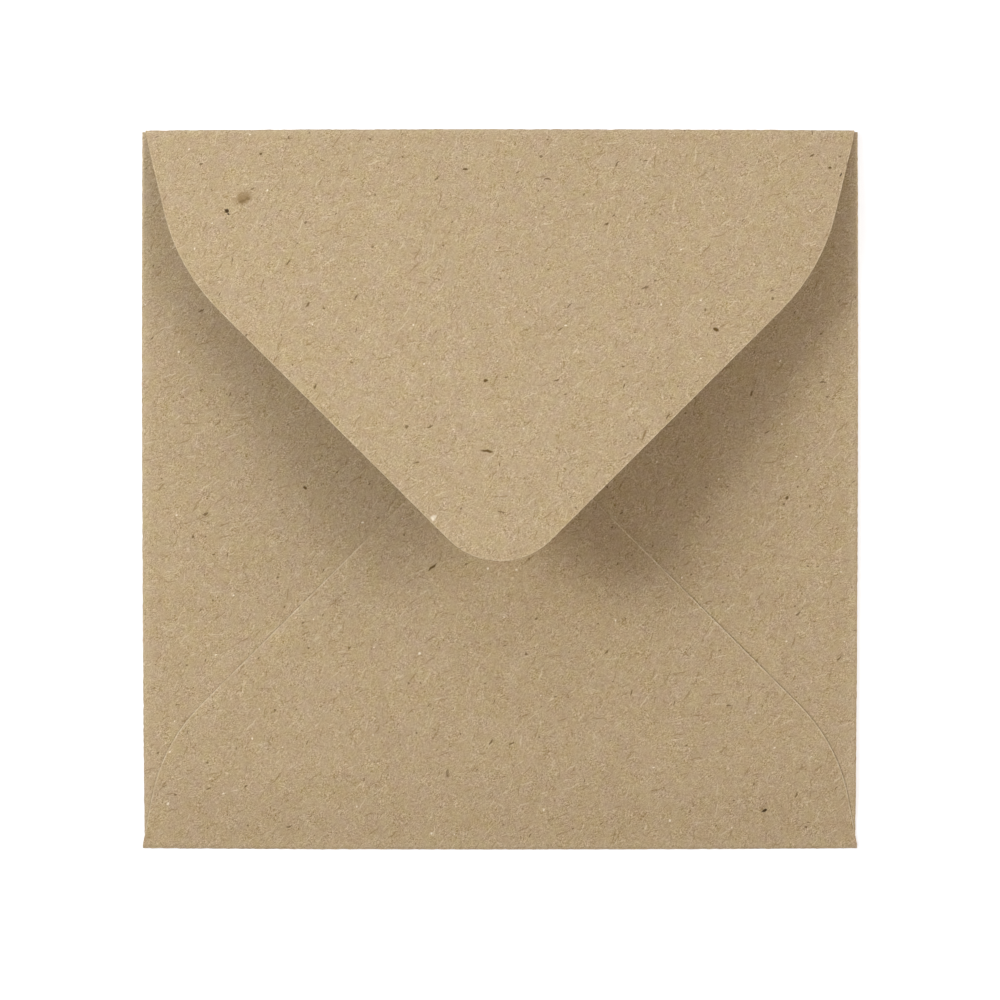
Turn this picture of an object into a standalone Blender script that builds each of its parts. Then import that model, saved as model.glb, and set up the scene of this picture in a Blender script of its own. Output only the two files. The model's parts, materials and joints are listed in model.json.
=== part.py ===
"""Square kraft paper envelope, lying on its front panel with the closure flap sprung open.

One die-cut sheet is folded along four creases and held by glue. Each stretch of the sheet
between creases is a piece of its own, each crease is a bent strip, and each line of adhesive
is a film between the layers that it joins.

Metres, +Z up. The origin is under the middle of the envelope, on the surface it lies on.
+Y points to the closure crease, and X runs along it.
"""

import math

import bmesh
import bpy
from mathutils import Matrix, Vector

MM = 0.001

# Outline of the folded envelope
WIDTH = 155.0 * MM
HEIGHT = 155.5 * MM
SIDE_TAPER = 0.5 * MM  # each side crease leans in by this much towards the bottom

# Layers, from the front panel upwards
PAPER = 0.16 * MM
POCKET_GAP = 1.0 * MM  # room between the front panel and the side flaps
LAYER_GAP = 0.05 * MM  # clearance between layers that lie on each other
JOIN_GAP = 0.05 * MM  # clearance between a panel's edge and its crease
SEAM_GLUE = 0.05 * MM
FLAP_GUM = 0.05 * MM
CORNER_GAP = 0.1 * MM  # clearance between two creases that meet at a corner
TOP_RELIEF = 0.35 * MM  # the side creases stop this far below the closure crease

# Closure flap, with depths measured from its crease
CLOSURE_REST_DEG = 16.0  # how far it has sprung up from lying closed
CLOSURE_SHOULDER_DEPTH = 31.0 * MM
CLOSURE_SHOULDER_INSET = 8.3 * MM
CLOSURE_SHOULDER_RADIUS = 48.0 * MM
CLOSURE_POINT_DEPTH = 102.5 * MM  # to the sharp point, before it is rounded
CLOSURE_TIP_RADIUS = 15.0 * MM

# Bottom flap, with depths measured from its crease
BOTTOM_BASE_INSET = 0.1 * MM
BOTTOM_SHOULDER_DEPTH = 22.0 * MM
BOTTOM_SHOULDER_INSET = 4.55 * MM
BOTTOM_SHOULDER_RADIUS = 39.0 * MM
BOTTOM_POINT_DEPTH = 94.9 * MM
BOTTOM_TIP_RADIUS = 15.0 * MM

# Side flaps, whose slanted edges meet on the envelope's middle line before the tips are rounded
SIDE_TIP_RADIUS = 12.0 * MM

# Adhesive along the slanted edges
SEAM_GLUE_WIDTH = 8.0 * MM
SEAM_GLUE_MARGIN = 2.0 * MM
SEAM_GLUE_START = 8.0 * MM  # from the bottom flap's shoulder
SEAM_GLUE_END = 22.0 * MM  # short of the bottom flap's sharp point
SEAM_GLUE_CORNER = 2.0 * MM
FLAP_GUM_WIDTH = 9.0 * MM
FLAP_GUM_MARGIN = 2.5 * MM
FLAP_GUM_START = 10.0 * MM  # from the closure flap's shoulder
FLAP_GUM_CORNER = 3.0 * MM

# Fineness of round stretches
ARC_STEP = math.radians(4.0)
CREASE_STEP = math.radians(15.0)
SHARP_ANGLE = math.radians(30.0)

# Finishes: sRGB colour and roughness
KRAFT_COLOUR = (0.729, 0.643, 0.510)
KRAFT_ROUGHNESS = 0.92
GLUE_COLOUR = (0.780, 0.722, 0.600)
GLUE_ROUGHNESS = 0.45
GUM_COLOUR = (0.690, 0.592, 0.439)
GUM_ROUGHNESS = 0.35

# Levels of the layers, worked out from the bottom of the stack up
SIDE_LEVEL = PAPER + POCKET_GAP
SEAM_LEVEL = SIDE_LEVEL + PAPER + LAYER_GAP
BOTTOM_LEVEL = SEAM_LEVEL + SEAM_GLUE + LAYER_GAP
BOTTOM_TOP = BOTTOM_LEVEL + PAPER
CLOSED_LEVEL = BOTTOM_TOP + LAYER_GAP + FLAP_GUM + LAYER_GAP

# Outer radii of the creases, each half of the stack that it wraps
SIDE_RADIUS = (SIDE_LEVEL + PAPER) / 2
BOTTOM_RADIUS = BOTTOM_TOP / 2
CLOSURE_RADIUS = (CLOSED_LEVEL + PAPER) / 2

# Crease lines: where the flat panels end and the bends begin
CLOSURE_Y = HEIGHT / 2 - CLOSURE_RADIUS
BOTTOM_Y = -HEIGHT / 2 + BOTTOM_RADIUS
SIDE_TOP_X = WIDTH / 2 - SIDE_RADIUS
SIDE_BOTTOM_X = SIDE_TOP_X - SIDE_TAPER
SIDE_TOP_Y = HEIGHT / 2 - TOP_RELIEF
SIDE_BOTTOM_Y = BOTTOM_Y + CORNER_GAP
CLOSURE_BASE_HALF = SIDE_TOP_X - CORNER_GAP
BOTTOM_BASE_HALF = WIDTH / 2 - BOTTOM_BASE_INSET


def to_linear(channel):
    """One sRGB channel as the linear value that shaders use."""
    if channel <= 0.04045:
        return channel / 12.92
    return ((channel + 0.055) / 1.055) ** 2.4


def finish(name, colour, roughness):
    """A matt or satin non-metal material."""
    material = bpy.data.materials.new(name)
    material.use_nodes = True
    shader = material.node_tree.nodes["Principled BSDF"]
    shader.inputs["Base Color"].default_value = (*map(to_linear, colour), 1.0)
    shader.inputs["Roughness"].default_value = roughness
    shader.inputs["Metallic"].default_value = 0.0
    material.diffuse_color = (*map(to_linear, colour), 1.0)
    return material


def rounded(corners):
    """Outline points through corners given as (x, y, radius), with each corner turned on an arc."""
    points = []
    for index, (x, y, radius) in enumerate(corners):
        corner = Vector((x, y))
        if radius == 0:
            points.append(corner)
            continue
        back = (Vector(corners[index - 1][:2]) - corner).normalized()
        ahead = (Vector(corners[(index + 1) % len(corners)][:2]) - corner).normalized()
        half = back.angle(ahead) / 2
        centre = corner + (back + ahead).normalized() * radius / math.sin(half)
        first = corner + back * radius / math.tan(half) - centre
        turn = -first.angle_signed(corner + ahead * radius / math.tan(half) - centre)
        steps = max(2, math.ceil(abs(turn) / ARC_STEP))
        for step in range(steps + 1):
            points.append(centre + Matrix.Rotation(turn * step / steps, 2) @ first)
    return points


def place(name, shape, material, parent=None):
    """An object of this name that holds the shape and its finish, hung from the parent if there is one."""
    bmesh.ops.recalc_face_normals(shape, faces=shape.faces)
    mesh = bpy.data.meshes.new(name)
    shape.to_mesh(mesh)
    shape.free()
    mesh.materials.append(material)
    made = bpy.data.objects.new(name, mesh)
    made.parent = parent
    bpy.context.scene.collection.objects.link(made)
    return made


def layer(name, outline, level, thickness, material, parent=None):
    """A flat layer cut to the outline, with its lower face at the level."""
    shape = bmesh.new()
    face = shape.faces.new([shape.verts.new((x, y, level)) for x, y in outline])
    grown = bmesh.ops.extrude_face_region(shape, geom=[face])["geom"]
    lifted = [item for item in grown if isinstance(item, bmesh.types.BMVert)]
    bmesh.ops.translate(shape, verts=lifted, vec=(0, 0, thickness))
    return place(name, shape, material, parent)


def crease(name, start, end, radius, turn, material):
    """A strip of the sheet bent up round an axis above the line from start to end.

    The bend starts flat at the front panel's level, straight below its axis, and turns
    right-handed about the direction from start to end.
    """
    shape = bmesh.new()
    paper = Vector((0, 0, PAPER))
    section = [start, end, end + paper, start + paper]
    face = shape.faces.new([shape.verts.new(point) for point in section])
    bmesh.ops.spin(
        shape,
        geom=[face, *face.edges, *face.verts],
        cent=start + Vector((0, 0, radius)),
        axis=(end - start).normalized(),
        angle=turn,
        steps=math.ceil(turn / CREASE_STEP),
    )
    made = place(name, shape, material)
    made.data.shade_smooth()
    made.data.set_sharp_from_angle(angle=SHARP_ANGLE)


def flap_corners(base_half, shoulder, point_depth, tip_radius):
    """Corners of a shouldered flap that hangs from a crease on the X axis towards -Y.

    shoulder is (depth, half width, radius).
    """
    depth, half, radius = shoulder
    return [
        (base_half, -JOIN_GAP, 0),
        (-base_half, -JOIN_GAP, 0),
        (-half, -depth, radius),
        (0, -point_depth, tip_radius),
        (half, -depth, radius),
    ]


def make_front_panel(kraft):
    """The address side, which carries all four creases."""
    top, bottom = CLOSURE_Y - JOIN_GAP, BOTTOM_Y + JOIN_GAP
    top_half, bottom_half = SIDE_TOP_X - JOIN_GAP, SIDE_BOTTOM_X - JOIN_GAP
    outline = [(-bottom_half, bottom), (bottom_half, bottom), (top_half, top), (-top_half, top)]
    layer("front_panel", outline, 0, PAPER, kraft)


def make_side(name, side, kraft):
    """One side flap and its crease. side is -1 for the left and 1 for the right."""
    top = Vector((side * SIDE_TOP_X, SIDE_TOP_Y, 0))
    bottom = Vector((side * SIDE_BOTTOM_X, SIDE_BOTTOM_Y, 0))
    start, end = (bottom, top) if side < 0 else (top, bottom)
    crease(f"{name}_side_fold", start, end, SIDE_RADIUS, math.pi, kraft)
    inward = Vector((-side * JOIN_GAP, 0, 0))
    corners = [
        ((top + inward).x, top.y, 0),
        ((bottom + inward).x, bottom.y, 0),
        (0, (top.y + bottom.y) / 2, SIDE_TIP_RADIUS),
    ]
    layer(f"{name}_side_flap", rounded(corners), SIDE_LEVEL, PAPER, kraft)


def make_bottom(kraft):
    """The bottom flap, which covers the side flaps' lower edges, and its crease."""
    start, end = Vector((-BOTTOM_BASE_HALF, BOTTOM_Y, 0)), Vector((BOTTOM_BASE_HALF, BOTTOM_Y, 0))
    crease("bottom_fold", end, start, BOTTOM_RADIUS, math.pi, kraft)
    shoulder = (BOTTOM_SHOULDER_DEPTH, WIDTH / 2 - BOTTOM_SHOULDER_INSET, BOTTOM_SHOULDER_RADIUS)
    corners = flap_corners(BOTTOM_BASE_HALF, shoulder, BOTTOM_POINT_DEPTH, BOTTOM_TIP_RADIUS)
    turned = [(-x, BOTTOM_Y - y) for x, y in rounded(corners)]
    layer("bottom_flap", turned, BOTTOM_LEVEL, PAPER, kraft)


def make_seam_glue(name, side, glue):
    """The glue line under one slanted edge of the bottom flap, on top of the side flap."""
    shoulder = Vector((WIDTH / 2 - BOTTOM_SHOULDER_INSET, BOTTOM_Y + BOTTOM_SHOULDER_DEPTH))
    point = Vector((0, BOTTOM_Y + BOTTOM_POINT_DEPTH))
    along = (point - shoulder).normalized()
    inward = Vector((-along.y, along.x))
    first, last = shoulder + along * SEAM_GLUE_START, point - along * SEAM_GLUE_END
    near, far = inward * SEAM_GLUE_MARGIN, inward * (SEAM_GLUE_MARGIN + SEAM_GLUE_WIDTH)
    corners = [first + near, last + near, last + far, first + far]
    outline = rounded([(side * corner.x, corner.y, SEAM_GLUE_CORNER) for corner in corners])
    layer(f"{name}_seam_glue", outline, SEAM_LEVEL, SEAM_GLUE, glue)


def make_closure(kraft, gum):
    """The closure flap with its crease and its line of gum. They turn about the empty on the crease."""
    hinge = bpy.data.objects.new("closure_hinge", None)
    hinge.location = (0, CLOSURE_Y, CLOSURE_RADIUS)
    hinge.rotation_euler.x = -math.radians(CLOSURE_REST_DEG)
    bpy.context.scene.collection.objects.link(hinge)

    start, end = Vector((-CLOSURE_BASE_HALF, CLOSURE_Y, 0)), Vector((CLOSURE_BASE_HALF, CLOSURE_Y, 0))
    crease("closure_fold", start, end, CLOSURE_RADIUS, math.pi - math.radians(CLOSURE_REST_DEG), kraft)

    inner = CLOSURE_RADIUS - PAPER
    half = WIDTH / 2 - CLOSURE_SHOULDER_INSET
    shoulder = (CLOSURE_SHOULDER_DEPTH, half, CLOSURE_SHOULDER_RADIUS)
    corners = flap_corners(CLOSURE_BASE_HALF, shoulder, CLOSURE_POINT_DEPTH, CLOSURE_TIP_RADIUS)
    layer("closure_flap", rounded(corners), inner, PAPER, kraft, hinge)
    layer("flap_gum", gum_outline(half), inner - LAYER_GAP - FLAP_GUM, FLAP_GUM, gum, hinge)


def gum_outline(shoulder_half):
    """The V of gum that follows the closure flap's slanted edges at a margin."""
    shoulder = Vector((shoulder_half, -CLOSURE_SHOULDER_DEPTH))
    point = Vector((0, -CLOSURE_POINT_DEPTH))
    along = (point - shoulder).normalized()
    inward = Vector((along.y, -along.x))
    start = shoulder + along * FLAP_GUM_START
    near, far = FLAP_GUM_MARGIN, FLAP_GUM_MARGIN + FLAP_GUM_WIDTH
    near_start, far_start = start + inward * near, start + inward * far
    near_point, far_point = (point.y + offset / abs(inward.y) for offset in (near, far))
    return rounded(
        [
            (near_start.x, near_start.y, FLAP_GUM_CORNER),
            (far_start.x, far_start.y, FLAP_GUM_CORNER),
            (0, far_point, FLAP_GUM_CORNER),
            (-far_start.x, far_start.y, FLAP_GUM_CORNER),
            (-near_start.x, near_start.y, FLAP_GUM_CORNER),
            (0, near_point, CLOSURE_TIP_RADIUS - near),
        ]
    )


def main():
    for old in list(bpy.data.objects):
        bpy.data.objects.remove(old)
    kraft = finish("kraft_paper", KRAFT_COLOUR, KRAFT_ROUGHNESS)
    glue = finish("seam_glue", GLUE_COLOUR, GLUE_ROUGHNESS)
    gum = finish("flap_gum", GUM_COLOUR, GUM_ROUGHNESS)
    make_front_panel(kraft)
    for name, side in (("left", -1), ("right", 1)):
        make_side(name, side, kraft)
        make_seam_glue(name, side, glue)
    make_bottom(kraft)
    make_closure(kraft, gum)


main()
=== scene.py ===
"""A square kraft paper envelope, seen on its flap side with the closure flap sprung open.

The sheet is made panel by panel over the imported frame. Each flap is the frame's own outline, turned over
its crease and given the paper's thickness. Every panel keeps a note of where it lay on the flat blank, so
that the fibres run on across the creases.
"""

import json
import math
from contextlib import contextmanager
from dataclasses import dataclass

import bmesh
import bpy
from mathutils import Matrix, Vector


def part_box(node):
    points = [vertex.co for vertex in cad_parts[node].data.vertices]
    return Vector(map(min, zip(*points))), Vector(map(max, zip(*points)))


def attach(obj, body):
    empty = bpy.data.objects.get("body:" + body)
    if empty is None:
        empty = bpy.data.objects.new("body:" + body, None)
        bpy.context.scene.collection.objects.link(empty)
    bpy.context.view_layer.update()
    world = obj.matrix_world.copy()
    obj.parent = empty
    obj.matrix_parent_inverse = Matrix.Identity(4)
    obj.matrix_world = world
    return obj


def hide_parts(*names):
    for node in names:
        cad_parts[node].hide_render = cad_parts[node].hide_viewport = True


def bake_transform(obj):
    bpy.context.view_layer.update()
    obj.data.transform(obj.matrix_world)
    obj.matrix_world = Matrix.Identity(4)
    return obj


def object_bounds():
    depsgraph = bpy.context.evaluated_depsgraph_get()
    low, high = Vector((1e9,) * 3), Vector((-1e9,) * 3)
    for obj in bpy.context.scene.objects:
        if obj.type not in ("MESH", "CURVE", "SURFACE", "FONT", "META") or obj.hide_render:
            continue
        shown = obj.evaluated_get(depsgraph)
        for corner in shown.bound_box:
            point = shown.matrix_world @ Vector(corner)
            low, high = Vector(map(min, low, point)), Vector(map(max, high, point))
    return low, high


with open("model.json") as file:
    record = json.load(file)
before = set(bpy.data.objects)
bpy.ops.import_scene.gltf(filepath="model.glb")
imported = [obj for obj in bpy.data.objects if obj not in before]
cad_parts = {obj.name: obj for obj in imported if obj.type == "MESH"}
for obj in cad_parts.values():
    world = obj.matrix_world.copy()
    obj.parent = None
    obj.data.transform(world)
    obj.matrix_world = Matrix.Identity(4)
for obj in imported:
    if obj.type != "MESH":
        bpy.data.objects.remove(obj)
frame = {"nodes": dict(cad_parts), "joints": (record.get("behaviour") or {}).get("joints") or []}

from bl_math import lerp, smoothstep
from mathutils import Vector

bl_info = {
    "name": "Square Kraft Envelope",
    "version": (1, 0, 0),
    "blender": (4, 5, 0),
    "location": "View3D > Sidebar > Envelope",
    "description": "Builds a square kraft paper envelope and a white table to photograph it on",
    "category": "Object",
}

MM = 0.001
UP = Vector((0.0, 0.0, 1.0))
CAD_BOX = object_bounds()
PANEL_LOW, PANEL_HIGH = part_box("front_panel")
PAPER = PANEL_HIGH.z - PANEL_LOW.z
HINGE = frame["joints"][0]

SAME_POINT = PAPER / 100  # points closer than this are merged
SAME_LINE = PAPER / 10  # points closer than this to a line count as on it
FACING = 0.9  # least cosine for a face that looks a given way
ALONG = 0.99  # least cosine for an edge that runs along a crease
SMOOTH = math.radians(18)  # faces that meet at less than this are shaded as one
GRID_MARGIN = 1.02  # the mesh's grid starts a little outside the front panel
JOIN = 1.00065  # stretches the front panel over its clearance to the creases
# Cut edges are painted paler near the crease than at the tip: loose fibres with a painted highlight
FRAY_AND_HIGHLIGHT_FADE = (0.68, 0.82)  # shares of a flap's depth between which its tip's fray takes over
LATTICE_POINTS = 13  # along each side of the pocket
OUTER_ROW = 0.99  # lattice points further out than this, from -1 to 1, hold the creases

TABLE_SIZE = 6.0  # far wider than any view
TABLE_DROP = 0.05 * MM  # clearance under the envelope
GLOW_FADE = (0.13, 0.4)  # distances between which the table turns to plain white

# In the tables below, lengths are in millimetres
KRAFT = "machine_made_kraft_paper"
FLAT = {"noise_dimensions": "2D"}
CREASE_LINE = 78.0  # from the middle of the flat blank to its creases

# Matted fibres: size of a patch in which they lie one way, their length and width, share in the grain
GRAIN = (
    (1.4, 0.4, 0.24, 0.6),
    (2.2, 0.7, 0.17, 0.4),
    (4.5, 2.0, 0.4, 0.18),
)

# Flecks: colour, strength, size of a patch that may hold one, length, width, share of patches that do.
# Single fibres come first, then splinters of wood, dots of dirt and specks of filler.
FLECKS = (
    ("dark_fibre", 0.5, 2.6, 1.3, 0.16, 0.7),
    ("dark_fibre", 0.65, 4.2, 2.2, 0.2, 0.6),
    ("pale_fibre_and_highlight", 0.37, 2.9, 1.2, 0.16, 0.7),
    ("pale_fibre_and_highlight", 0.38, 4.7, 2.4, 0.18, 0.6),
    ("shive", 0.77, 9.5, 1.0, 0.26, 0.5),
    ("shive", 0.72, 6.5, 0.42, 0.32, 0.5),
    ("chalk", 0.7, 13.0, 0.4, 0.3, 0.7),
)

# The largest marks of this sheet: colour, strength, x and y on the flat blank, length, width, turn in degrees
MARKS = (
    ("dark_fibre", 0.6, -55.2, 94.3, 3.7, 2.9, -42),
    ("dark_fibre", 0.5, -55.4, 94.7, 2.5, 1.7, -35),
    ("shive", 0.45, -55.6, 95.0, 1.8, 0.5, -25),
    ("shive", 0.4, -54.4, 94.5, 0.9, 0.7, 0),
    ("shive", 0.65, -53.3, 92.3, 0.9, 0.45, -30),
    ("shive", 0.9, -51.7, 84.4, 0.65, 0.5, 0),
    ("bark", 0.97, -58.85, 97.2, 1.05, 0.9, 0),
    ("bark", 0.85, -58.55, 98.0, 0.7, 0.5, 60),
    ("chalk", 0.5, -14.1, 166.0, 1.5, 1.1, -20),
    ("chalk", 0.4, -14.3, 166.3, 0.8, 0.6, 30),
    ("shive", 0.95, -2.7, 151.3, 2.6, 0.52, 8),
    ("shive", 1.0, -3.0, 135.6, 1.1, 0.75, 15),
    ("shive", 1.0, 46.2, 124.2, 1.5, 0.75, 35),
    ("bark", 0.97, 57.2, -87.0, 1.35, 0.75, -20),
    ("shive", 0.95, -14.6, -139.6, 2.4, 0.5, -40),
    ("shive", 0.95, -113.2, 0.1, 0.95, 0.65, 30),
    ("dark_fibre", 0.9, 30.7, 147.9, 2.9, 0.38, -70),
    ("dark_fibre", 0.7, -85.7, 33.9, 1.4, 0.32, 150),
    ("shive", 0.95, -7.6, 87.8, 1.15, 0.55, 0),
    ("shive", 0.6, -11.3, -95.2, 1.9, 0.5, 98),
    ("shive", 0.85, 23.0, 100.2, 1.05, 0.6, 142),
    ("shive", 0.9, 93.3, -1.9, 0.95, 0.65, 105),
    ("shive", 0.8, -45.5, 109.0, 1.5, 0.42, 128),
    ("shive", 0.85, 67.5, 84.7, 1.1, 0.4, -35),
    ("shive", 0.95, 71.2, 87.4, 0.75, 0.4, -15),
    ("bark", 0.8, 73.6, 89.1, 0.75, 0.45, -60),
    ("shive", 0.85, 67.6, 79.3, 1.5, 0.25, 88),
)


# Settings


def linear(code):
    """An sRGB hex colour as the linear values that shaders use."""
    channels = [int(code[place : place + 2], 16) / 255 for place in (0, 2, 4)]
    return [c / 12.92 if c <= 0.04045 else ((c + 0.055) / 1.055) ** 2.4 for c in channels]


def colour(name, description, code):
    """A colour setting whose default is an sRGB hex value."""
    return bpy.props.FloatVectorProperty(
        name=name, description=description, subtype="COLOR", size=3, min=0, max=1, default=linear(code)
    )


def length(name, description, default):
    """A length setting in metres."""
    return bpy.props.FloatProperty(
        name=name, description=description, unit="LENGTH", precision=5, min=0, default=default
    )


def share(name, description, default):
    """A setting from 0 to 1."""
    return bpy.props.FloatProperty(
        name=name, description=description, subtype="FACTOR", min=0, max=1, default=default
    )


def number(name, description, default):
    """A setting that counts something."""
    return bpy.props.IntProperty(name=name, description=description, min=1, default=default)


def power(name, description, default):
    """A lamp's power in watts."""
    return bpy.props.FloatProperty(name=name, description=description, unit="POWER", min=0, default=default)


def angle(name, description, degrees):
    """An angle setting, given in degrees."""
    return bpy.props.FloatProperty(
        name=name, description=description, subtype="ANGLE", default=math.radians(degrees)
    )


class EnvelopeSheet(bpy.types.PropertyGroup):
    """Sizes of the folded sheet."""

    paper: length("Paper", "Thickness of the kraft paper", PAPER)
    grid: length("Grid", "Spacing of the sheet's mesh", 6 * MM)
    # The rim is also the band that is painted paler along a cut edge: loose fibres with a painted highlight
    rim: length("Cut edge", "Width of the paler band of loosened fibres along a cut edge", 0.3 * MM)
    crease_steps: number("Crease steps", "Number of flat strips in each rounded crease", 14)
    crease_cuts: number("Crease cuts", "Number of cuts along a crease in each square of the mesh", 7)
    lump: length("Lump", "Size of the lumps that broken fibres make in a crease", 0.9 * MM)
    unevenness: length("Unevenness", "How far those lumps vary", 0.26 * MM)
    bottom_pinch: length("Bottom pinch", "How much flatter the bottom crease is than the pocket", 1.3 * MM)
    side_pinch: length("Side pinch", "How much flatter the side creases are than the pocket", 0.35 * MM)
    pressed_edge: length("Pressed edge", "How far the bottom flap's glued edges are pressed down", 0.08 * MM)
    left_sag: length("Left sag", "How far the left side flap sinks into the pocket", 0.12 * MM)
    right_sag: length("Right sag", "How far the right side flap sinks into the pocket", 0.28 * MM)
    # The three shares below paint cut edges paler: loose fibres with a painted highlight. Less is painted
    # towards the bottom flap's tip, where the closure flap's shadow falls.
    glued_fray_and_highlight: share("Glued edge fray", "How loose and pale the fibres are on the bottom flap's edges", 0.8)
    tip_fray_and_highlight: share("Tip fray", "How loose and pale they are towards the bottom flap's tip", 0.1)
    free_fray_and_highlight: share("Free edge fray", "How loose and pale the fibres are on the other flaps' edges", 0.42)
    edge_bow: length("Edge bow", "How far the creases bow outwards in the middle", 0.28 * MM)
    machine_direction: angle("Machine direction", "Way of most fibres on the blank, clockwise from +X", 42)
    fibre_spread: angle("Fibre spread", "How far fibres lie off the machine direction, either way", 42)


class EnvelopeColours(bpy.types.PropertyGroup):
    """Colours of the paper and its adhesive."""

    kraft: colour("Kraft", "The paper's own colour", "B29C7B")
    # This colour also paints the highlight on cut edges and the glow on creases
    pale_fibre_and_highlight: colour("Pale fibre", "Bleached fibres and loosened edges", "DDCDB0")
    dark_fibre: colour("Dark fibre", "Unbleached fibres", "8B714B")
    shive: colour("Shive", "Splinters of wood", "614822")
    bark: colour("Bark", "Specks of bark", "3A260C")
    chalk: colour("Chalk speck", "Specks of white filler", "F3E8D2")
    glue: colour("Seam glue", "Dried glue between the flaps", "C7B899")
    gum: colour("Flap gum", "Dry gum on the closure flap", "A58B62")


class EnvelopeStage(bpy.types.PropertyGroup):
    """The table, the lamps and the camera."""

    camera_height: length("Camera height", "Height of the camera above the table", 1.1)
    frame_width: length("Frame width", "Width of the picture at the envelope", 216.8 * MM)
    frame_shift_y: length("Frame shift", "How far the picture's middle is below the envelope's", 2.3 * MM)
    key_power: power("Key power", "Power of the softbox on the left", 3.06)
    key_azimuth: angle("Key azimuth", "Direction of the softbox on the left, from +X", 165.5)
    key_height: angle("Key height", "Elevation of the softbox on the left", 40.6)
    key_size: length("Key size", "Side of the softbox on the left", 0.24)
    key_distance: length("Key distance", "Distance of the softbox on the left", 0.67)
    key_colour: colour("Key colour", "Colour of the softbox on the left", "F9FFFE")
    fill_power: power("Fill power", "Power of the softbox on the right", 4.7)
    fill_azimuth: angle("Fill azimuth", "Direction of the softbox on the right, from +X", 11)
    fill_height: angle("Fill height", "Elevation of the softbox on the right", 42)
    fill_size: length("Fill size", "Side of the softbox on the right", 0.5)
    fill_distance: length("Fill distance", "Distance of the softbox on the right", 0.88)
    fill_colour: colour("Fill colour", "Colour of the softbox on the right", "F7FAF6")
    window_power: power("Window power", "Power of the broad light beyond the closure crease", 8.8)
    window_azimuth: angle("Window azimuth", "Direction of the broad light, from +X", 115)
    window_height: angle("Window height", "Elevation of the broad light", 38)
    window_size: length("Window size", "Side of the broad light", 1.5)
    window_distance: length("Window distance", "Distance of the broad light", 1.5)
    window_colour: colour("Window colour", "Colour of the broad light", "DAEBFF")
    room: colour("Room", "Even light from all round", "745E56")
    table: colour("Table", "The table's own colour", "E6E6E6")
    table_glow: share("Table glow", "What the camera sees added to the table so that it reads as white", 0.42)


# Creases


@dataclass
class Crease:
    """A rounded crease at an edge of the front panel, and where its flap lies."""

    start: Vector  # a point on the axis of the bend
    out: Vector  # level and square to the crease, away from the front panel
    radius: float
    turn: float  # angle from the front panel to the flap

    @property
    def along(self):
        """The way that the crease runs."""
        return self.out.cross(UP)

    @property
    def facing(self):
        """The way that the flap's outer side looks."""
        return self.out * math.sin(self.turn) - UP * math.cos(self.turn)

    @property
    def flap_way(self):
        """The way from the crease to the flap's tip."""
        return self.out * math.cos(self.turn) + UP * math.sin(self.turn)

    def blank(self, point):
        """Where a point of the flap or its crease lay on the flat blank, and its depth in the paper."""
        place = point - self.start
        beyond = place.dot(self.flap_way)
        if beyond > 0:
            height = place.dot(self.facing)
            distance = self.radius * self.turn + beyond
        else:
            out, rise = place.dot(self.out), place.dot(UP)
            height = math.hypot(out, rise)
            distance = self.radius * math.atan2(out, -rise)
        flat = self.start + self.along * place.dot(self.along) + self.out * distance
        return flat, self.radius - height


def side_crease(side):
    """The left (-1) or right (1) crease, which leans in towards the bottom."""
    low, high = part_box("left_side_fold" if side < 0 else "right_side_fold")
    radius = (high.z - low.z) / 2
    inner, outer = (high.x, low.x) if side < 0 else (low.x, high.x)
    top = Vector((outer - side * radius, high.y, radius))
    bottom = Vector((inner, low.y, radius))
    along = (bottom - top).normalized() * side
    return Crease(bottom, UP.cross(along), radius, math.pi)


def bottom_crease():
    """The crease that the bottom flap turns on."""
    low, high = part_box("bottom_fold")
    radius = (high.z - low.z) / 2
    return Crease(Vector((0, high.y, radius)), Vector((0, -1, 0)), radius, math.pi)


def closure_crease():
    """The crease that the closure flap turns on, with the flap where it rests."""
    start = Vector(HINGE["pos_m"])
    return Crease(start, Vector((0, 1, 0)), start.z, math.pi + math.radians(HINGE["range_deg"][0]))


# Modelling


@contextmanager
def editing(piece):
    """Edit mode on this piece alone, with all of it selected."""
    bpy.ops.object.select_all(action="DESELECT")
    piece.select_set(True)
    bpy.context.view_layer.objects.active = piece
    bpy.ops.object.mode_set(mode="EDIT")
    bpy.ops.mesh.select_all(action="SELECT")
    yield
    bpy.ops.object.mode_set(mode="OBJECT")


def pick(piece, kind, test):
    """Selects the faces, edges or verts of the piece in edit mode that pass the test, and nothing else."""
    bpy.ops.mesh.select_mode(type={"faces": "FACE", "edges": "EDGE", "verts": "VERT"}[kind])
    bpy.ops.mesh.select_all(action="DESELECT")
    shape = bmesh.from_edit_mesh(piece.data)
    for item in getattr(shape, kind):
        if test(item):
            item.select_set(True)
    bmesh.update_edit_mesh(piece.data)


def copy_of(name, node):
    """A new piece that starts as a copy of a frame node, with its loose triangles merged."""
    piece = bpy.data.objects.new(name, frame["nodes"][node].data.copy())
    bpy.context.scene.collection.objects.link(piece)
    with editing(piece):
        bpy.ops.mesh.remove_doubles(threshold=SAME_POINT)
    return piece


def outer_face(name, node, facing):
    """A new piece that is one face: the side of a frame panel that faces this way."""
    piece = copy_of(name, node)
    with editing(piece):
        pick(piece, "faces", lambda face: face.normal.dot(facing) < FACING)
        bpy.ops.mesh.delete(type="FACE")
        bpy.ops.mesh.select_all(action="SELECT")
        bpy.ops.mesh.dissolve_faces()
    return piece


def grid_cuts(piece, spacing):
    """Cuts the selected faces into a grid, so that they can bend."""
    low, high = PANEL_LOW * GRID_MARGIN, PANEL_HIGH * GRID_MARGIN
    for axis in (Vector((1, 0, 0)), Vector((0, 1, 0))):
        first, last = low.dot(axis), high.dot(axis)
        for step in range(1, int((last - first) / spacing)):
            bpy.ops.mesh.select_all(action="SELECT")
            bpy.ops.mesh.bisect(plane_co=axis * (first + step * spacing), plane_no=axis)


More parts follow.
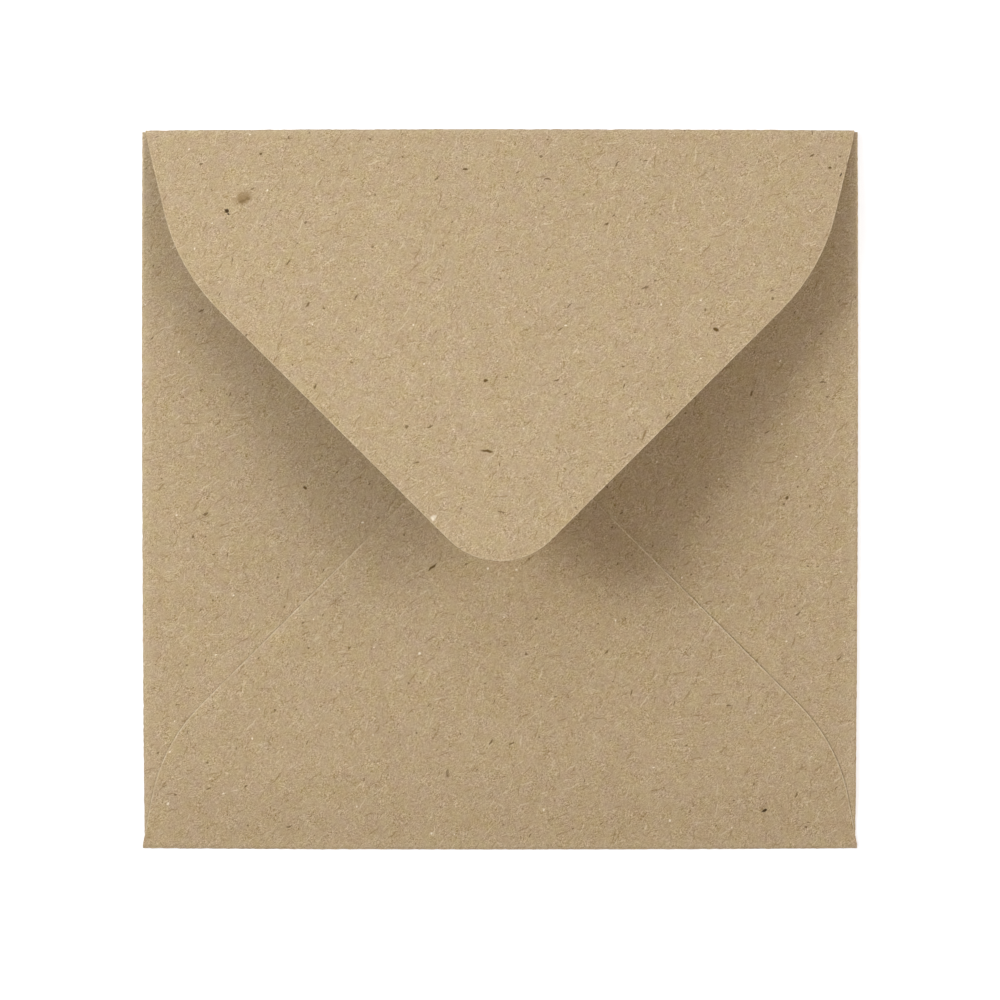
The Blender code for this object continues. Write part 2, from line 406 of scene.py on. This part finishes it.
def note_cut_edges(piece, fray_and_highlight_at):
    """Notes how pale each point on a cut edge is painted, for loose fibres and a painted highlight in the
    paper's finish.
    """
    shape = bmesh.new()
    shape.from_mesh(piece.data)
    shape.verts.ensure_lookup_table()
    cut = piece.data.attributes.new("cut_edge", "FLOAT", "POINT")
    for vertex, entry in zip(shape.verts, cut.data):
        entry.value = fray_and_highlight_at(vertex.co) if vertex.is_boundary else 0
    shape.free()


def note_blank(piece, blank):
    """Stores where each point lay on the flat blank. The sheet's inner side lies beside the outer one."""
    inside = Vector((0.5, 0, 0))
    note = piece.data.attributes.new("blank", "FLOAT_VECTOR", "POINT")
    for vertex, entry in zip(piece.data.vertices, note.data):
        place, depth = blank(vertex.co)
        entry.vector = place * Vector((1, 1, 0)) + (inside if depth > PAPER / 2 else Vector())


def apply_modifier(piece, kind, **settings):
    """Adds a modifier with these settings and applies it."""
    modifier = piece.modifiers.new(kind.lower(), kind)
    for key, value in settings.items():
        setattr(modifier, key, value)
    bpy.ops.object.select_all(action="DESELECT")
    piece.select_set(True)
    bpy.context.view_layer.objects.active = piece
    bpy.ops.object.modifier_apply(modifier=modifier.name)


def thicken(piece, thickness):
    """Gives a sheet its thickness, inwards from its outer side."""
    apply_modifier(piece, "SOLIDIFY", thickness=thickness, offset=-1, use_even_offset=True)
    bpy.ops.object.shade_smooth_by_angle(angle=SMOOTH)


def folded_sheet(name, panel, crease, settings, fray_and_highlight):
    """A flap with its crease, from the flap's outer face round to the front panel.

    The given pair says how pale its cut edges are painted near the crease and near the tip: loose fibres with
    a painted highlight.
    """
    piece = outer_face(name, panel, crease.facing)

    def beyond(point):
        return (point - crease.start).dot(crease.flap_way)

    def within(edge, reach):
        return all(beyond(vertex.co) < reach for vertex in edge.verts)

    def is_along(edge):
        way = edge.verts[1].co - edge.verts[0].co
        return abs(way.dot(crease.along)) > ALONG * way.length

    with editing(piece):
        # A rim along the cut edges, for the band of loosened fibres
        bpy.ops.mesh.inset(thickness=settings.rim, use_boundary=True)
        # The edge at the crease closes its clearance and is spun round to the front panel
        near = min(beyond(vertex.co) for vertex in piece.data.vertices)
        pick(piece, "edges", lambda edge: within(edge, near + SAME_LINE))
        bpy.ops.transform.translate(value=crease.flap_way * -near)
        bpy.ops.mesh.spin(
            steps=settings.crease_steps, angle=crease.turn, center=crease.start, axis=crease.along
        )
        grid_cuts(piece, settings.grid)
        bpy.ops.mesh.select_all(action="SELECT")
        bpy.ops.mesh.remove_doubles(threshold=SAME_POINT)
        # Finer cuts along the crease, for its unevenness
        pick(piece, "edges", lambda edge: is_along(edge) and within(edge, SAME_LINE))
        bpy.ops.mesh.subdivide(number_cuts=settings.crease_cuts)
        bpy.ops.mesh.select_all(action="SELECT")
        bpy.ops.mesh.normals_make_consistent(inside=False)
        shape = bmesh.from_edit_mesh(piece.data)
        if max(shape.faces, key=lambda face: face.calc_area()).normal.dot(crease.facing) < 0:
            bpy.ops.mesh.flip_normals()
    depth = max(beyond(vertex.co) for vertex in piece.data.vertices)

    # How pale a cut edge is painted at a point: loose fibres with a painted highlight
    def fray_and_highlight_at(point):
        if beyond(point) < PAPER:
            return 0
        return lerp(*fray_and_highlight, smoothstep(*FRAY_AND_HIGHLIGHT_FADE, beyond(point) / depth))

    note_cut_edges(piece, fray_and_highlight_at)
    thicken(piece, settings.paper)
    note_blank(piece, crease.blank)
    roughen(piece, crease, settings)
    return piece


def roughen(piece, crease, settings):
    """Makes a crease a little uneven, because folding breaks some fibres and lifts others."""
    fold = piece.vertex_groups.new(name="fold")
    for vertex in piece.data.vertices:
        bulge = (vertex.co - crease.start).dot(crease.out) / crease.radius
        fold.add([vertex.index], max(0, bulge), "REPLACE")
    lumps = bpy.data.textures.new("broken_fibres", "CLOUDS")
    lumps.noise_scale = settings.lump
    apply_modifier(
        piece,
        "DISPLACE",
        texture=lumps,
        texture_coords="LOCAL",
        vertex_group=fold.name,
        direction="X" if abs(crease.out.x) > abs(crease.out.y) else "Y",
        strength=settings.unevenness,
    )
    piece.vertex_groups.clear()
    bpy.data.textures.remove(lumps)


def press_edges(piece, drop):
    """Presses a glued flap's cut edges down on their upper side, so that the light finds them."""
    top = max(vertex.co.z for vertex in piece.data.vertices)
    cut = piece.data.attributes["cut_edge"].data
    pressed = {
        vertex.index
        for vertex, note in zip(piece.data.vertices, cut)
        if note.value and vertex.co.z > top - SAME_LINE
    }
    with editing(piece):
        pick(piece, "verts", lambda vertex: vertex.index in pressed)
        bpy.ops.transform.translate(value=UP * -drop)
    bpy.ops.object.shade_smooth_by_angle(angle=SMOOTH)


def flat_sheet(name, panel, settings):
    """The front panel, from its outer face on the table up."""
    piece = outer_face(name, panel, -UP)
    with editing(piece):
        bpy.ops.transform.resize(value=(JOIN, JOIN, 1))
        grid_cuts(piece, settings.grid)
    note_cut_edges(piece, lambda point: 0)
    thicken(piece, settings.paper)
    note_blank(piece, lambda point: (point, point.z))
    return piece


def film(name, node, settings):
    """A film of adhesive, cut into a grid so that it bends with the paper."""
    piece = copy_of(name, node)
    with editing(piece):
        grid_cuts(piece, settings.grid)
    return piece


def warp(piece, shift):
    """Bends a piece with a lattice round the pocket.

    shift gives how far the lattice's point at x, y and level, each from -1 to 1, moves.
    """
    low, high = (Vector(corner) for corner in CAD_BOX)
    high.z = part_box("bottom_flap")[1].z
    size = high - low
    bpy.ops.object.select_all(action="DESELECT")
    bpy.ops.object.add(type="LATTICE", location=(low + high) / 2)
    cage = bpy.context.object
    cage.scale = size
    bpy.context.view_layer.update()
    cage.data.points_u = cage.data.points_v = LATTICE_POINTS
    cage.data.points_w = 2
    for axis in "uvw":
        setattr(cage.data, f"interpolation_type_{axis}", "KEY_CATMULL_ROM")
    for point in cage.data.points:
        moved = shift(*point.co * 2)
        point.co_deform = point.co + Vector(part / whole for part, whole in zip(moved, size))
    apply_modifier(piece, "LATTICE", object=cage)
    bpy.data.objects.remove(cage)


def warp_pocket(piece, settings, sag=0.0):
    """Bows the creases outwards, presses them flatter than the pocket's middle and lets the piece sag."""
    bow = settings.edge_bow

    def shift(x, y, level):
        side = settings.side_pinch if abs(x) > OUTER_ROW else 0
        bottom = settings.bottom_pinch if y < -OUTER_ROW else 0
        drop = max(side, bottom, sag) if level > 0 else 0
        return bow * x * (1 - y**2), bow * y * (1 - x**2), -drop

    warp(piece, shift)


def warp_flap(piece, settings):
    """Bows the closure crease like the others. The flap stays flat, to lie on pocket and table alike."""
    bow = settings.edge_bow
    warp(piece, lambda x, y, level: (0, bow * (1 - x**2) if y > OUTER_ROW else 0, 0))


# Finishes


def add(tree, kind, inputs=None, **settings):
    """Adds a node with its settings, and sets or links its inputs."""
    node = tree.nodes.new("ShaderNode" + kind)
    for key, value in settings.items():
        setattr(node, key, value)
    for socket, value in (inputs or {}).items():
        if isinstance(value, bpy.types.NodeSocket):
            tree.links.new(value, node.inputs[socket])
        else:
            node.inputs[socket].default_value = value
    return node


def new_finish(name):
    """An empty material, with its shader."""
    material = bpy.data.materials.new(name)
    material.use_nodes = True
    return material, material.node_tree, material.node_tree.nodes["Principled BSDF"]


def patches(tree, place, size):
    """Cuts the sheet into random patches of about this size.

    Gives where a point lies from the middle of its patch, turned by a random angle about the machine
    direction, and the patch's own random numbers, apart and as one colour.
    """
    cells = add(tree, "TexVoronoi", {"Vector": place, "Scale": 1 / size}, voronoi_dimensions="2D")
    offset = add(tree, "VectorMath", {0: place, 1: cells.outputs["Position"]}, operation="SUBTRACT")
    luck = add(tree, "SeparateColor", {0: cells.outputs["Color"]})
    sheet = bpy.context.scene.envelope_sheet
    first, last = (sheet.machine_direction + way * sheet.fibre_spread for way in (-1, 1))
    turn = add(tree, "MapRange", {"Value": luck.outputs["Red"], "To Min": first, "To Max": last})
    turned = add(
        tree, "VectorRotate", {"Vector": offset.outputs[0], "Angle": turn.outputs[0]}, rotation_type="Z_AXIS"
    )
    return turned.outputs[0], luck.outputs, cells.outputs["Color"]


def felt(tree, place, size, long, wide):
    """Fibres matted together: noise drawn out to this length and width, another way in each patch."""
    turned, _, seed = patches(tree, place, size)
    drawn = add(tree, "VectorMath", {0: turned, 1: (1 / long, 1 / wide, 0)}, operation="MULTIPLY")
    # Each patch shows another part of the noise
    apart = (90, 90, 0)
    moved = add(tree, "VectorMath", {0: seed, 1: apart, 2: drawn.outputs[0]}, operation="MULTIPLY_ADD")
    return add(tree, "TexNoise", {"Vector": moved.outputs[0], "Scale": 1, "Detail": 1}, **FLAT).outputs[0]


def ellipse(tree, place, long, wide, shrink=1.0):
    """1 inside an ellipse of this length and width about the origin, with a soft edge."""
    drawn = add(tree, "VectorMath", {0: place, 1: (2 / long, 2 / wide, 0)}, operation="MULTIPLY")
    reach = add(tree, "VectorMath", {0: drawn.outputs[0]}, operation="LENGTH")
    scaled = add(tree, "Math", {0: reach.outputs["Value"], 1: shrink}, operation="MULTIPLY")
    return add(
        tree,
        "MapRange",
        {"Value": scaled.outputs[0], "From Min": 1.3, "From Max": 0.6},
        interpolation_type="SMOOTHSTEP",
    ).outputs[0]


def flecks(tree, place, size, long, wide, amount):
    """One fleck of about this length and width in this share of the patches, 0.6 to 1.6 times as large."""
    turned, luck, _ = patches(tree, place, size)
    shrink = add(tree, "MapRange", {"Value": luck["Blue"], "To Min": 0.62, "To Max": 1.6})
    mask = ellipse(tree, turned, long, wide, shrink.outputs[0])
    kept = add(tree, "Math", {0: luck["Green"], 1: amount}, operation="LESS_THAN")
    return add(tree, "Math", {0: mask, 1: kept.outputs[0]}, operation="MULTIPLY").outputs[0]


def tint(tree, base, paint, mask, strength):
    """Mixes a colour into another where the mask is 1."""
    amount = add(tree, "Math", {0: mask, 1: strength}, operation="MULTIPLY")
    return add(tree, "Mix", {0: amount.outputs[0], 6: base, 7: (*paint, 1)}, data_type="RGBA").outputs[2]


def kraft_paper():
    """Machine-made kraft paper, unglazed and uncoated: a matt felt of brown fibres with bark and filler."""
    if KRAFT in bpy.data.materials:
        return bpy.data.materials[KRAFT]
    colours = bpy.context.scene.envelope_colours
    material, tree, shader = new_finish(KRAFT)
    blank = add(tree, "Attribute", attribute_name="blank").outputs["Vector"]
    place = add(tree, "VectorMath", {0: blank, "Scale": 1 / MM}, operation="SCALE").outputs[0]

    # Fibres are wavy, so all that follows is drawn on a sheet pushed about by a fraction of a millimetre
    sway = add(tree, "TexNoise", {"Vector": place, "Scale": 1 / 1.2, "Detail": 1}, **FLAT)
    centred = add(tree, "VectorMath", {0: sway.outputs["Color"], 1: (0.5, 0.5, 0)}, operation="SUBTRACT")
    wavy = add(
        tree, "VectorMath", {0: centred.outputs[0], 1: (0.6, 0.6, 0), 2: place}, operation="MULTIPLY_ADD"
    ).outputs[0]

    # The felt of fibres makes the grain. Real fibres are 0.03 mm wide, drawn as the bundles that show.
    grain = -sum(part for *_, part in GRAIN) / 2  # so that the grain varies about 0
    for size, long, wide, part in GRAIN:
        layer = felt(tree, wavy, size, long, wide)
        grain = add(tree, "Math", {0: layer, 1: part, 2: grain}, operation="MULTIPLY_ADD").outputs[0]
    # Uneven formation: the felt is rough in one place and smooth in the next, and cloudy in tone and hue
    cloud = add(tree, "TexNoise", {"Vector": place, "Scale": 1 / 10, "Detail": 3, "Roughness": 1}, **FLAT)
    flock = add(tree, "TexNoise", {"Vector": place, "Scale": 1 / 3, "Detail": 0}, **FLAT)
    contrast = add(tree, "MapRange", {"Value": flock.outputs[0], "To Min": 0.65, "To Max": 2.85})
    clouds = add(tree, "Math", {0: cloud.outputs[0], 1: 0.2, 2: -0.1}, operation="MULTIPLY_ADD")
    depth = add(
        tree, "Math", {0: grain, 1: contrast.outputs[0], 2: clouds.outputs[0]}, operation="MULTIPLY_ADD"
    )
    # Where the paper is darker it is also browner, and each cloud and flock has its own hue
    shade = (1, 0.933, 0.7925)
    for tone, weight in (
        (depth.outputs[0], (0.87, 1.0, 1.35)),
        (cloud.outputs["Color"], (0, 0.07, 0.3)),
        (flock.outputs["Color"], (0, 0.065, 0.115)),
    ):
        shade = add(tree, "VectorMath", {0: tone, 1: weight, 2: shade}, operation="MULTIPLY_ADD").outputs[0]
    paper = add(tree, "VectorMath", {0: shade, 1: colours.kraft}, operation="MULTIPLY").outputs[0]

    for paint, strength, size, long, wide, amount in FLECKS:
        mask = flecks(tree, wavy, size, long, wide, amount)
        paper = tint(tree, paper, getattr(colours, paint), mask, strength)
    for paint, strength, x, y, long, wide, turn in MARKS:
        offset = add(tree, "VectorMath", {0: wavy, 1: (x, y, 0)}, operation="SUBTRACT")
        turned = add(
            tree,
            "VectorRotate",
            {"Vector": offset.outputs[0], "Angle": -math.radians(turn)},
            rotation_type="Z_AXIS",
        )
        mask = ellipse(tree, turned.outputs[0], long, wide)
        paper = tint(tree, paper, getattr(colours, paint), mask, strength)

    # Creases are painted paler: a painted glow for the light on their rounded edges. On the blank they are a
    # square about the front panel
    far = add(tree, "VectorMath", {0: place}, operation="ABSOLUTE")
    sides = add(tree, "SeparateXYZ", {0: far.outputs[0]})
    ring = add(tree, "Math", {0: sides.outputs["X"], 1: sides.outputs["Y"]}, operation="MAXIMUM")
    from_crease = add(tree, "Math", {0: ring.outputs[0], 1: CREASE_LINE}, operation="SUBTRACT")
    gap = add(tree, "Math", {0: from_crease.outputs[0]}, operation="ABSOLUTE")
    crease_glow = add(
        tree,
        "MapRange",
        {"Value": gap.outputs[0], "From Min": 3.0, "From Max": 0.6},
        interpolation_type="SMOOTHSTEP",
    )
    paper = tint(tree, paper, colours.pale_fibre_and_highlight, crease_glow.outputs[0], 0.1)

    # Cut edges are painted paler, in one place more than in the next: broken fibres with a painted highlight
    cut = add(tree, "Attribute", attribute_name="cut_edge")
    fray_and_highlight_patches = add(
        tree, "MapRange", {"Value": flock.outputs[0], "From Min": 0.3, "From Max": 0.65, "To Min": 0.4}
    )
    fray_and_highlight_mask = add(tree, "Math", {0: cut.outputs["Fac"], 1: fray_and_highlight_patches.outputs[0]}, operation="MULTIPLY")
    paper = tint(tree, paper, colours.pale_fibre_and_highlight, fray_and_highlight_mask.outputs[0], 1.0)
    tree.links.new(paper, shader.inputs["Base Color"])

    rough = add(tree, "Bump", {"Height": grain, "Distance": 0.03 * MM, "Strength": 1.0})
    tree.links.new(rough.outputs[0], shader.inputs["Normal"])
    shader.inputs["Roughness"].default_value = 0.92
    shader.inputs["Specular IOR Level"].default_value = 0.25
    return material


def dried_film(name, paint, streak, gloss):
    """A film dried on paper. Fibres show through, and streaks of this x and y size (mm) break the shine."""
    material, tree, shader = new_finish(name)
    coords = add(tree, "TexCoord").outputs["Object"]
    place = add(tree, "VectorMath", {0: coords, "Scale": 1 / MM}, operation="SCALE").outputs[0]
    size, long, wide, _ = GRAIN[0]
    fibres = felt(tree, place, size, long, wide)
    drawn = add(tree, "VectorMath", {0: place, 1: (1 / streak[0], 1 / streak[1], 0)}, operation="MULTIPLY")
    streaks = add(tree, "TexNoise", {"Vector": drawn.outputs[0], "Scale": 1, "Detail": 1}, **FLAT).outputs[0]
    depth = add(tree, "Math", {0: streaks, 1: 0.5, 2: 0.35}, operation="MULTIPLY_ADD")
    shade = add(tree, "Math", {0: fibres, 1: 0.8, 2: depth.outputs[0]}, operation="MULTIPLY_ADD")
    shaded = add(tree, "VectorMath", {0: shade.outputs[0], 1: paint}, operation="MULTIPLY")
    tree.links.new(shaded.outputs[0], shader.inputs["Base Color"])
    dull = add(
        tree,
        "MapRange",
        {"Value": streaks, "From Min": 0.3, "From Max": 0.7, "To Min": gloss, "To Max": gloss + 0.2},
    )
    tree.links.new(dull.outputs[0], shader.inputs["Roughness"])
    rough = add(tree, "Bump", {"Height": streaks, "Distance": 0.02 * MM})
    tree.links.new(rough.outputs[0], shader.inputs["Normal"])
    return material


def seam_glue():
    """Dispersion glue laid by a nozzle and pressed: a pale film, uneven along the bead, with a dull shine."""
    return dried_film("dried_dispersion_glue", bpy.context.scene.envelope_colours.glue, (3.0, 3.0), 0.4)


def flap_gum():
    """Roller-coated gum: a thin glassy film that darkens paper as if wet, streaked the way it was rolled."""
    return dried_film("roller_coated_gum", bpy.context.scene.envelope_colours.gum, (0.7, 16.0), 0.25)


def dress(piece, material, slot, *nodes):
    """Gives a piece its finish and hides the frame nodes that it stands for. The slot is not used."""
    piece.data.materials.clear()
    piece.data.materials.append(material)
    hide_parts(*nodes)


# Operators


class ENVELOPE_OT_front_sheet(bpy.types.Operator):
    """Makes the front panel, which lies on the table"""

    bl_idname = "envelope.front_sheet"
    bl_label = "Front panel"

    def execute(self, context):
        settings = context.scene.envelope_sheet
        piece = flat_sheet("front_sheet", "front_panel", settings)
        warp_pocket(piece, settings)
        dress(piece, kraft_paper(), "kraft_paper", "front_panel")
        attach(piece, "pocket")
        return {"FINISHED"}


class ENVELOPE_OT_side_sheets(bpy.types.Operator):
    """Makes the two side flaps with their creases"""

    bl_idname = "envelope.side_sheets"
    bl_label = "Side flaps"

    def execute(self, context):
        settings = context.scene.envelope_sheet
        fray_and_highlight = (settings.free_fray_and_highlight, settings.free_fray_and_highlight)
        for name, side in (("left", -1), ("right", 1)):
            crease = side_crease(side)
            piece = folded_sheet(f"{name}_side_sheet", f"{name}_side_flap", crease, settings, fray_and_highlight)
            warp_pocket(piece, settings, getattr(settings, f"{name}_sag"))
            dress(piece, kraft_paper(), "kraft_paper", f"{name}_side_flap", f"{name}_side_fold")
            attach(piece, "pocket")
        return {"FINISHED"}


class ENVELOPE_OT_bottom_sheet(bpy.types.Operator):
    """Makes the bottom flap with its crease"""

    bl_idname = "envelope.bottom_sheet"
    bl_label = "Bottom flap"

    def execute(self, context):
        settings = context.scene.envelope_sheet
        # The bottom flap's cut edges are painted paler, with less painted highlight towards its tip, in the
        # closure flap's shadow
        fray_and_highlight = (settings.glued_fray_and_highlight, settings.tip_fray_and_highlight)
        piece = folded_sheet("bottom_sheet", "bottom_flap", bottom_crease(), settings, fray_and_highlight)
        press_edges(piece, settings.pressed_edge)
        warp_pocket(piece, settings)
        dress(piece, kraft_paper(), "kraft_paper", "bottom_flap", "bottom_fold")
        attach(piece, "pocket")
        return {"FINISHED"}


class ENVELOPE_OT_closure_sheet(bpy.types.Operator):
    """Makes the closure flap with the crease that it turns on"""

    bl_idname = "envelope.closure_sheet"
    bl_label = "Closure flap"

    def execute(self, context):
        settings = context.scene.envelope_sheet
        fray_and_highlight = (settings.free_fray_and_highlight, settings.free_fray_and_highlight)
        piece = folded_sheet("closure_sheet", "closure_flap", closure_crease(), settings, fray_and_highlight)
        warp_flap(piece, settings)
        dress(piece, kraft_paper(), "kraft_paper", "closure_flap", "closure_fold")
        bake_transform(piece)
        return {"FINISHED"}


class ENVELOPE_OT_adhesive(bpy.types.Operator):
    """Makes the glue in the seams and the gum on the closure flap"""

    bl_idname = "envelope.adhesive"
    bl_label = "Glue and gum"

    def execute(self, context):
        settings = context.scene.envelope_sheet
        glue = seam_glue()
        for name in ("left", "right"):
            piece = film(f"{name}_glue_film", f"{name}_seam_glue", settings)
            warp_pocket(piece, settings, getattr(settings, f"{name}_sag"))
            dress(piece, glue, "seam_glue", f"{name}_seam_glue")
            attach(piece, "pocket")
        piece = film("gum_film", "flap_gum", settings)
        warp_flap(piece, settings)
        dress(piece, flap_gum(), "flap_gum", "flap_gum")
        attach(piece, "flap")
        return {"FINISHED"}


class ENVELOPE_OT_stage(bpy.types.Operator):
    """Makes the white table, the lights and the camera"""

    bl_idname = "envelope.stage"
    bl_label = "Stage"

    def execute(self, context):
        settings = context.scene.envelope_stage
        make_table(settings)
        make_room(settings)
        for role in ("key", "fill", "window"):
            make_softbox(role, settings)
        make_camera(settings)
        context.scene.view_settings.view_transform = "Standard"
        return {"FINISHED"}


# Stage


def seen_directly(tree):
    """A value that is 1 where the camera, a mirror or glass looks straight at a surface."""
    path = add(tree, "LightPath").outputs
    seen = path["Is Camera Ray"]
    for way in ("Is Glossy Ray", "Is Transmission Ray"):
        seen = add(tree, "Math", {0: seen, 1: path[way]}, operation="MAXIMUM").outputs[0]
    return seen


def make_table(settings):
    """A white table top that keeps the envelope's shadow."""
    bpy.ops.object.select_all(action="DESELECT")
    bpy.ops.mesh.primitive_plane_add(size=TABLE_SIZE, location=(0, 0, -TABLE_DROP))
    table = bpy.context.object
    table.name = "table"
    material, tree, shader = new_finish("white_table")
    shader.inputs["Base Color"].default_value = (*settings.table, 1)
    shader.inputs["Roughness"].default_value = 0.9
    shader.inputs["Specular IOR Level"].default_value = 0
    # Plain white further out, where the lamps don't reach
    coords = add(tree, "TexCoord").outputs["Object"]
    reach = add(tree, "VectorMath", {0: coords}, operation="LENGTH")
    level = add(
        tree,
        "MapRange",
        {
            "Value": reach.outputs["Value"],
            "From Min": GLOW_FADE[0],
            "From Max": GLOW_FADE[1],
            "To Min": settings.table_glow,
            "To Max": 1.0,
        },
        interpolation_type="SMOOTHSTEP",
    )
    glow = add(tree, "Math", {0: seen_directly(tree), 1: level.outputs[0]}, operation="MULTIPLY")
    shader.inputs["Emission Color"].default_value = (1, 1, 1, 1)
    tree.links.new(glow.outputs[0], shader.inputs["Emission Strength"])
    table.data.materials.append(material)


def make_room(settings):
    """Even light from all round, and a white backdrop for the camera."""
    world = bpy.data.worlds.new("white_room")
    bpy.context.scene.world = world
    world.use_nodes = True
    tree = world.node_tree
    white = (1, 1, 1, 1)
    light = add(tree, "Mix", {0: seen_directly(tree), 6: (*settings.room, 1), 7: white}, data_type="RGBA")
    tree.links.new(light.outputs[2], tree.nodes["Background"].inputs["Color"])


def make_softbox(role, settings):
    """A square softbox aimed at the envelope."""
    azimuth, rise, size, distance, watts, paint = (
        getattr(settings, f"{role}_{word}")
        for word in ("azimuth", "height", "size", "distance", "power", "colour")
    )
    level = math.cos(rise)
    way = Vector((math.cos(azimuth) * level, math.sin(azimuth) * level, math.sin(rise)))
    lamp = bpy.data.lights.new(f"{role}_light", "AREA")
    lamp.size = size
    lamp.energy = watts
    lamp.color = paint
    softbox = bpy.data.objects.new(lamp.name, lamp)
    softbox.location = way * distance
    softbox.rotation_euler = way.to_track_quat("Z", "Y").to_euler()
    bpy.context.scene.collection.objects.link(softbox)


def make_camera(settings):
    """A camera straight above, with the closure crease at the top of the picture."""
    lens = bpy.data.cameras.new("camera")
    lens.sensor_width = 36
    lens.lens = lens.sensor_width * settings.camera_height / settings.frame_width
    camera = bpy.data.objects.new("camera", lens)
    camera.location = (0, -settings.frame_shift_y, settings.camera_height)
    bpy.context.scene.collection.objects.link(camera)
    bpy.context.scene.camera = camera


# Panel and registration


class VIEW3D_PT_envelope(bpy.types.Panel):
    """Lists the envelope's pieces and settings"""

    bl_label = "Square Envelope"
    bl_space_type = "VIEW_3D"
    bl_region_type = "UI"
    bl_category = "Envelope"

    def draw(self, context):
        for step in STEPS:
            self.layout.operator(step.bl_idname)
        for group, place in GROUPS.items():
            box = self.layout.box()
            settings = getattr(context.scene, place)
            for name in group.__annotations__:
                box.prop(settings, name)


STEPS = (
    ENVELOPE_OT_front_sheet,
    ENVELOPE_OT_side_sheets,
    ENVELOPE_OT_bottom_sheet,
    ENVELOPE_OT_closure_sheet,
    ENVELOPE_OT_adhesive,
    ENVELOPE_OT_stage,
)
GROUPS = {
    EnvelopeSheet: "envelope_sheet",
    EnvelopeColours: "envelope_colours",
    EnvelopeStage: "envelope_stage",
}


def register():
    """Adds the settings, the operators and the panel."""
    for group, place in GROUPS.items():
        bpy.utils.register_class(group)
        setattr(bpy.types.Scene, place, bpy.props.PointerProperty(type=group))
    for kind in (*STEPS, VIEW3D_PT_envelope):
        bpy.utils.register_class(kind)


def unregister():
    """Takes them out again."""
    for kind in (VIEW3D_PT_envelope, *reversed(STEPS)):
        bpy.utils.unregister_class(kind)
    for group, place in GROUPS.items():
        delattr(bpy.types.Scene, place)
        bpy.utils.unregister_class(group)


def main():
    register()
    bpy.ops.envelope.front_sheet()
    bpy.ops.envelope.side_sheets()
    bpy.ops.envelope.bottom_sheet()
    bpy.ops.envelope.closure_sheet()
    bpy.ops.envelope.adhesive()
    bpy.ops.envelope.stage()


if __name__ == "__main__":
    main()
